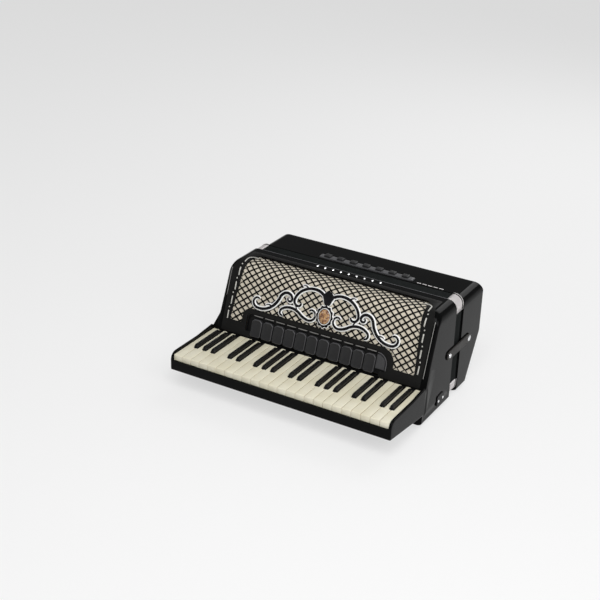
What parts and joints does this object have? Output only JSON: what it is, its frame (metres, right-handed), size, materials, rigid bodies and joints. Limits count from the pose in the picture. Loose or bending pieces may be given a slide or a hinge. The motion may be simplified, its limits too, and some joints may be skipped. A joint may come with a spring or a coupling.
{
  "type": "piano accordion",
  "caption": "Piano accordion with a full keyboard, diamond-lattice grille, register switches, folding bellows and a strapped bass side with slanted button panel.",
  "frame": {"origin": "middle of the object's box on the surface it lies on, back down and front up", "axes": "+X along the keyboard towards the high notes, +Y from the key tips through the bellows to the bass end, +Z from the back to the front"},
  "size_m": [0.4916, 0.4476, 0.219],
  "materials": {
    "celluloid": "black celluloid, polished",
    "white_key": "ivory-coloured key plastic, polished",
    "black_key": "black key plastic, satin",
    "steel": "drawn steel rod",
    "grille_metal": "black lacquer on pierced metal",
    "grille_cloth": "fine champagne-coloured weave",
    "register_tab": "matte black switch plastic",
    "birch": "bare birch ply",
    "maple": "bare maple",
    "bellows_cloth": "black bellows cloth and tape over card",
    "bass_button": "pale button plastic",
    "leather": "black strap leather",
    "chrome": "bright chrome",
    "bass_register": "grey register bars"
  },
  "bodies": {
    "treble_side": {"treble_casing": "celluloid", "keyboard_bed": "celluloid", "key_axle": "steel", "treble_grille": "grille_metal", "grille_cloth": "grille_cloth", "register_bank": "register_tab", "pallet_board": "birch", "treble_reed_block": "maple", "bellows": "bellows_cloth"},
    "bass_side": {"bass_casing": "celluloid", "bass_button_panel": "bass_button", "bass_strap": "leather", "bass_register_bank": "bass_register", "bass_reed_block": "maple"},
    "bellows_strap_low": {"bellows_strap_low": "leather"},
    "bellows_strap_high": {"bellows_strap_high": "leather"},
    "air_button": {"air_button": "chrome"},
    "strap_wheel": {"strap_wheel": "chrome"},
    "white_key_01": {"white_key_01": "white_key"},
    "black_key_01": {"black_key_01": "black_key"},
    "white_key_02": {"white_key_02": "white_key"},
    "black_key_02": {"black_key_02": "black_key"},
    "white_key_03": {"white_key_03": "white_key"},
    "black_key_03": {"black_key_03": "black_key"},
    "white_key_04": {"white_key_04": "white_key"},
    "white_key_05": {"white_key_05": "white_key"},
    "black_key_04": {"black_key_04": "black_key"},
    "white_key_06": {"white_key_06": "white_key"},
    "black_key_05": {"black_key_05": "black_key"},
    "white_key_07": {"white_key_07": "white_key"},
    "white_key_08": {"white_key_08": "white_key"},
    "black_key_06": {"black_key_06": "black_key"},
    "white_key_09": {"white_key_09": "white_key"},
    "black_key_07": {"black_key_07": "black_key"},
    "white_key_10": {"white_key_10": "white_key"},
    "black_key_08": {"black_key_08": "black_key"},
    "white_key_11": {"white_key_11": "white_key"},
    "white_key_12": {"white_key_12": "white_key"},
    "black_key_09": {"black_key_09": "black_key"},
    "white_key_13": {"white_key_13": "white_key"},
    "black_key_10": {"black_key_10": "black_key"},
    "white_key_14": {"white_key_14": "white_key"},
    "white_key_15": {"white_key_15": "white_key"},
    "black_key_11": {"black_key_11": "black_key"},
    "white_key_16": {"white_key_16": "white_key"},
    "black_key_12": {"black_key_12": "black_key"},
    "white_key_17": {"white_key_17": "white_key"},
    "black_key_13": {"black_key_13": "black_key"},
    "white_key_18": {"white_key_18": "white_key"},
    "white_key_19": {"white_key_19": "white_key"},
    "black_key_14": {"black_key_14": "black_key"},
    "white_key_20": {"white_key_20": "white_key"},
    "black_key_15": {"black_key_15": "black_key"},
    "white_key_21": {"white_key_21": "white_key"},
    "white_key_22": {"white_key_22": "white_key"},
    "black_key_16": {"black_key_16": "black_key"},
    "white_key_23": {"white_key_23": "white_key"},
    "black_key_17": {"black_key_17": "black_key"},
    "white_key_24": {"white_key_24": "white_key"}
  },
  "joints": [
    {"name": "bellows_slide", "type": "slide", "parent": "treble_side", "child": "bass_side", "axis": [0, 1, 0], "range_m": [0, 0.36], "deforming": ["bellows"]},
    {"name": "bellows_strap_low_swing", "type": "hinge", "parent": "treble_side", "child": "bellows_strap_low", "pos_m": [-0.2318, 0.0265, 0.11], "axis": [1, 0, 0], "range_deg": [0, 150]},
    {"name": "bellows_strap_high_swing", "type": "hinge", "parent": "treble_side", "child": "bellows_strap_high", "pos_m": [0.2428, 0.0265, 0.11], "axis": [1, 0, 0], "range_deg": [0, 150]},
    {"name": "air_button_press", "type": "slide", "parent": "bass_side", "child": "air_button", "axis": [0, -1, 0], "range_m": [0, 0.004], "stiffness_N_per_m": 400, "springref_m": -0.003},
    {"name": "strap_wheel_turn", "type": "hinge", "parent": "bass_side", "child": "strap_wheel", "pos_m": [-0.2318, 0.1635, 0.138], "axis": [1, 0, 0], "continuous": true},
    {"name": "white_key_01_press", "type": "hinge", "parent": "treble_side", "child": "white_key_01", "pos_m": [-0.23, -0.08495, 0.062], "axis": [1, 0, 0], "range_deg": [0, 2.2], "stiffness_Nm_per_rad": 0.8, "springref_deg": -5.73},
    {"name": "black_key_01_press", "type": "hinge", "parent": "treble_side", "child": "black_key_01", "pos_m": [-0.22, -0.08495, 0.062], "axis": [1, 0, 0], "range_deg": [0, 2.2], "stiffness_Nm_per_rad": 0.8, "springref_deg": -5.73},
    {"name": "white_key_02_press", "type": "hinge", "parent": "treble_side", "child": "white_key_02", "pos_m": [-0.21, -0.08495, 0.062], "axis": [1, 0, 0], "range_deg": [0, 2.2], "stiffness_Nm_per_rad": 0.8, "springref_deg": -5.73},
    {"name": "black_key_02_press", "type": "hinge", "parent": "treble_side", "child": "black_key_02", "pos_m": [-0.2, -0.08495, 0.062], "axis": [1, 0, 0], "range_deg": [0, 2.2], "stiffness_Nm_per_rad": 0.8, "springref_deg": -5.73},
    {"name": "white_key_03_press", "type": "hinge", "parent": "treble_side", "child": "white_key_03", "pos_m": [-0.19, -0.08495, 0.062], "axis": [1, 0, 0], "range_deg": [0, 2.2], "stiffness_Nm_per_rad": 0.8, "springref_deg": -5.73},
    {"name": "black_key_03_press", "type": "hinge", "parent": "treble_side", "child": "black_key_03", "pos_m": [-0.18, -0.08495, 0.062], "axis": [1, 0, 0], "range_deg": [0, 2.2], "stiffness_Nm_per_rad": 0.8, "springref_deg": -5.73},
    {"name": "white_key_04_press", "type": "hinge", "parent": "treble_side", "child": "white_key_04", "pos_m": [-0.17, -0.08495, 0.062], "axis": [1, 0, 0], "range_deg": [0, 2.2], "stiffness_Nm_per_rad": 0.8, "springref_deg": -5.73},
    {"name": "white_key_05_press", "type": "hinge", "parent": "treble_side", "child": "white_key_05", "pos_m": [-0.15, -0.08495, 0.062], "axis": [1, 0, 0], "range_deg": [0, 2.2], "stiffness_Nm_per_rad": 0.8, "springref_deg": -5.73},
    {"name": "black_key_04_press", "type": "hinge", "parent": "treble_side", "child": "black_key_04", "pos_m": [-0.14, -0.08495, 0.062], "axis": [1, 0, 0], "range_deg": [0, 2.2], "stiffness_Nm_per_rad": 0.8, "springref_deg": -5.73},
    {"name": "white_key_06_press", "type": "hinge", "parent": "treble_side", "child": "white_key_06", "pos_m": [-0.13, -0.08495, 0.062], "axis": [1, 0, 0], "range_deg": [0, 2.2], "stiffness_Nm_per_rad": 0.8, "springref_deg": -5.73},
    {"name": "black_key_05_press", "type": "hinge", "parent": "treble_side", "child": "black_key_05", "pos_m": [-0.12, -0.08495, 0.062], "axis": [1, 0, 0], "range_deg": [0, 2.2], "stiffness_Nm_per_rad": 0.8, "springref_deg": -5.73},
    {"name": "white_key_07_press", "type": "hinge", "parent": "treble_side", "child": "white_key_07", "pos_m": [-0.11, -0.08495, 0.062], "axis": [1, 0, 0], "range_deg": [0, 2.2], "stiffness_Nm_per_rad": 0.8, "springref_deg": -5.73},
    {"name": "white_key_08_press", "type": "hinge", "parent": "treble_side", "child": "white_key_08", "pos_m": [-0.09, -0.08495, 0.062], "axis": [1, 0, 0], "range_deg": [0, 2.2], "stiffness_Nm_per_rad": 0.8, "springref_deg": -5.73},
    {"name": "black_key_06_press", "type": "hinge", "parent": "treble_side", "child": "black_key_06", "pos_m": [-0.08, -0.08495, 0.062], "axis": [1, 0, 0], "range_deg": [0, 2.2], "stiffness_Nm_per_rad": 0.8, "springref_deg": -5.73},
    {"name": "white_key_09_press", "type": "hinge", "parent": "treble_side", "child": "white_key_09", "pos_m": [-0.07, -0.08495, 0.062], "axis": [1, 0, 0], "range_deg": [0, 2.2], "stiffness_Nm_per_rad": 0.8, "springref_deg": -5.73},
    {"name": "black_key_07_press", "type": "hinge", "parent": "treble_side", "child": "black_key_07", "pos_m": [-0.06, -0.08495, 0.062], "axis": [1, 0, 0], "range_deg": [0, 2.2], "stiffness_Nm_per_rad": 0.8, "springref_deg": -5.73},
    {"name": "white_key_10_press", "type": "hinge", "parent": "treble_side", "child": "white_key_10", "pos_m": [-0.05, -0.08495, 0.062], "axis": [1, 0, 0], "range_deg": [0, 2.2], "stiffness_Nm_per_rad": 0.8, "springref_deg": -5.73},
    {"name": "black_key_08_press", "type": "hinge", "parent": "treble_side", "child": "black_key_08", "pos_m": [-0.04, -0.08495, 0.062], "axis": [1, 0, 0], "range_deg": [0, 2.2], "stiffness_Nm_per_rad": 0.8, "springref_deg": -5.73},
    {"name": "white_key_11_press", "type": "hinge", "parent": "treble_side", "child": "white_key_11", "pos_m": [-0.03, -0.08495, 0.062], "axis": [1, 0, 0], "range_deg": [0, 2.2], "stiffness_Nm_per_rad": 0.8, "springref_deg": -5.73},
    {"name": "white_key_12_press", "type": "hinge", "parent": "treble_side", "child": "white_key_12", "pos_m": [-0.01, -0.08495, 0.062], "axis": [1, 0, 0], "range_deg": [0, 2.2], "stiffness_Nm_per_rad": 0.8, "springref_deg": -5.73},
    {"name": "black_key_09_press", "type": "hinge", "parent": "treble_side", "child": "black_key_09", "pos_m": [0, -0.08495, 0.062], "axis": [1, 0, 0], "range_deg": [0, 2.2], "stiffness_Nm_per_rad": 0.8, "springref_deg": -5.73},
    {"name": "white_key_13_press", "type": "hinge", "parent": "treble_side", "child": "white_key_13", "pos_m": [0.01, -0.08495, 0.062], "axis": [1, 0, 0], "range_deg": [0, 2.2], "stiffness_Nm_per_rad": 0.8, "springref_deg": -5.73},
    {"name": "black_key_10_press", "type": "hinge", "parent": "treble_side", "child": "black_key_10", "pos_m": [0.02, -0.08495, 0.062], "axis": [1, 0, 0], "range_deg": [0, 2.2], "stiffness_Nm_per_rad": 0.8, "springref_deg": -5.73},
    {"name": "white_key_14_press", "type": "hinge", "parent": "treble_side", "child": "white_key_14", "pos_m": [0.03, -0.08495, 0.062], "axis": [1, 0, 0], "range_deg": [0, 2.2], "stiffness_Nm_per_rad": 0.8, "springref_deg": -5.73},
    {"name": "white_key_15_press", "type": "hinge", "parent": "treble_side", "child": "white_key_15", "pos_m": [0.05, -0.08495, 0.062], "axis": [1, 0, 0], "range_deg": [0, 2.2], "stiffness_Nm_per_rad": 0.8, "springref_deg": -5.73},
    {"name": "black_key_11_press", "type": "hinge", "parent": "treble_side", "child": "black_key_11", "pos_m": [0.06, -0.08495, 0.062], "axis": [1, 0, 0], "range_deg": [0, 2.2], "stiffness_Nm_per_rad": 0.8, "springref_deg": -5.73},
    {"name": "white_key_16_press", "type": "hinge", "parent": "treble_side", "child": "white_key_16", "pos_m": [0.07, -0.08495, 0.062], "axis": [1, 0, 0], "range_deg": [0, 2.2], "stiffness_Nm_per_rad": 0.8, "springref_deg": -5.73},
    {"name": "black_key_12_press", "type": "hinge", "parent": "treble_side", "child": "black_key_12", "pos_m": [0.08, -0.08495, 0.062], "axis": [1, 0, 0], "range_deg": [0, 2.2], "stiffness_Nm_per_rad": 0.8, "springref_deg": -5.73},
    {"name": "white_key_17_press", "type": "hinge", "parent": "treble_side", "child": "white_key_17", "pos_m": [0.09, -0.08495, 0.062], "axis": [1, 0, 0], "range_deg": [0, 2.2], "stiffness_Nm_per_rad": 0.8, "springref_deg": -5.73},
    {"name": "black_key_13_press", "type": "hinge", "parent": "treble_side", "child": "black_key_13", "pos_m": [0.1, -0.08495, 0.062], "axis": [1, 0, 0], "range_deg": [0, 2.2], "stiffness_Nm_per_rad": 0.8, "springref_deg": -5.73},
    {"name": "white_key_18_press", "type": "hinge", "parent": "treble_side", "child": "white_key_18", "pos_m": [0.11, -0.08495, 0.062], "axis": [1, 0, 0], "range_deg": [0, 2.2], "stiffness_Nm_per_rad": 0.8, "springref_deg": -5.73},
    {"name": "white_key_19_press", "type": "hinge", "parent": "treble_side", "child": "white_key_19", "pos_m": [0.13, -0.08495, 0.062], "axis": [1, 0, 0], "range_deg": [0, 2.2], "stiffness_Nm_per_rad": 0.8, "springref_deg": -5.73},
    {"name": "black_key_14_press", "type": "hinge", "parent": "treble_side", "child": "black_key_14", "pos_m": [0.14, -0.08495, 0.062], "axis": [1, 0, 0], "range_deg": [0, 2.2], "stiffness_Nm_per_rad": 0.8, "springref_deg": -5.73},
    {"name": "white_key_20_press", "type": "hinge", "parent": "treble_side", "child": "white_key_20", "pos_m": [0.15, -0.08495, 0.062], "axis": [1, 0, 0], "range_deg": [0, 2.2], "stiffness_Nm_per_rad": 0.8, "springref_deg": -5.73},
    {"name": "black_key_15_press", "type": "hinge", "parent": "treble_side", "child": "black_key_15", "pos_m": [0.16, -0.08495, 0.062], "axis": [1, 0, 0], "range_deg": [0, 2.2], "stiffness_Nm_per_rad": 0.8, "springref_deg": -5.73},
    {"name": "white_key_21_press", "type": "hinge", "parent": "treble_side", "child": "white_key_21", "pos_m": [0.17, -0.08495, 0.062], "axis": [1, 0, 0], "range_deg": [0, 2.2], "stiffness_Nm_per_rad": 0.8, "springref_deg": -5.73},
    {"name": "white_key_22_press", "type": "hinge", "parent": "treble_side", "child": "white_key_22", "pos_m": [0.19, -0.08495, 0.062], "axis": [1, 0, 0], "range_deg": [0, 2.2], "stiffness_Nm_per_rad": 0.8, "springref_deg": -5.73},
    {"name": "black_key_16_press", "type": "hinge", "parent": "treble_side", "child": "black_key_16", "pos_m": [0.2, -0.08495, 0.062], "axis": [1, 0, 0], "range_deg": [0, 2.2], "stiffness_Nm_per_rad": 0.8, "springref_deg": -5.73},
    {"name": "white_key_23_press", "type": "hinge", "parent": "treble_side", "child": "white_key_23", "pos_m": [0.21, -0.08495, 0.062], "axis": [1, 0, 0], "range_deg": [0, 2.2], "stiffness_Nm_per_rad": 0.8, "springref_deg": -5.73},
    {"name": "black_key_17_press", "type": "hinge", "parent": "treble_side", "child": "black_key_17", "pos_m": [0.22, -0.08495, 0.062], "axis": [1, 0, 0], "range_deg": [0, 2.2], "stiffness_Nm_per_rad": 0.8, "springref_deg": -5.73},
    {"name": "white_key_24_press", "type": "hinge", "parent": "treble_side", "child": "white_key_24", "pos_m": [0.23, -0.08495, 0.062], "axis": [1, 0, 0], "range_deg": [0, 2.2], "stiffness_Nm_per_rad": 0.8, "springref_deg": -5.73}
  ]
}
